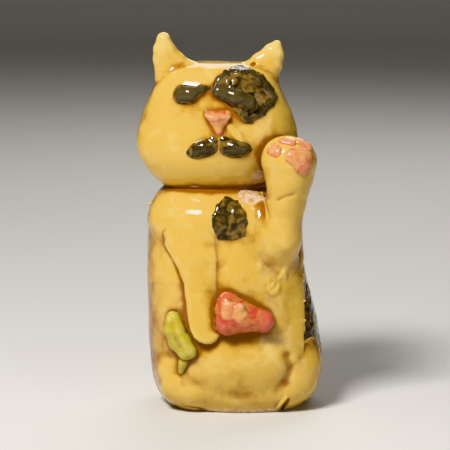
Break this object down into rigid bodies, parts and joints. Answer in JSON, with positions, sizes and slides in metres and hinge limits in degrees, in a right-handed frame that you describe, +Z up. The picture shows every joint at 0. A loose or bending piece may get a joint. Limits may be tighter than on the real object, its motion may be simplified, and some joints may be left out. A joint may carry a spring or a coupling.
{
  "type": "beckoning cat figurine",
  "caption": "Small hand-built clay figurine of a seated cat with one paw raised, in thick honey-coloured glaze, with dark patches and two coloured charms.",
  "frame": {"origin": "on the resting plane, under the middle of the body", "axes": "+Z up along the figurine's height; the cat faces -Y; +X is the cat's own left, the side of the raised paw"},
  "size_m": [0.0378, 0.0335, 0.0753],
  "materials": {
    "honey_glaze": "thick clear honey glaze, glossy, amber where it pools",
    "black_glaze": "dark stained clay under a glossy glaze, olive brown where it is thin",
    "pink_glaze": "pink stained clay under a glossy honey glaze",
    "red_glaze": "red stained clay under a glossy honey glaze",
    "green_glaze": "green stained clay under a glossy honey glaze",
    "bare_clay": "unglazed fired clay, matt"
  },
  "bodies": {
    "root": {"base_slab": "bare_clay", "body_back_shell": "honey_glaze", "body_front_panel": "honey_glaze", "neck_coil": "honey_glaze", "head": "honey_glaze", "left_ear": "honey_glaze", "right_ear": "honey_glaze", "left_eye": "black_glaze", "right_eye": "black_glaze", "eye_patch": "black_glaze", "nose": "pink_glaze", "left_muzzle": "black_glaze", "right_muzzle": "black_glaze", "raised_arm": "honey_glaze", "palm_pad": "pink_glaze", "inner_toe_pad": "pink_glaze", "middle_toe_pad": "pink_glaze", "outer_toe_pad": "pink_glaze", "lowered_arm": "honey_glaze", "red_charm": "red_glaze", "charm_knob": "pink_glaze", "green_charm": "green_glaze", "green_charm_bud": "green_glaze", "chest_patch": "black_glaze", "flank_patch": "black_glaze", "shoulder_patch": "black_glaze", "left_foot": "honey_glaze", "right_foot": "honey_glaze", "tail": "black_glaze"}
  },
  "joints": []
}
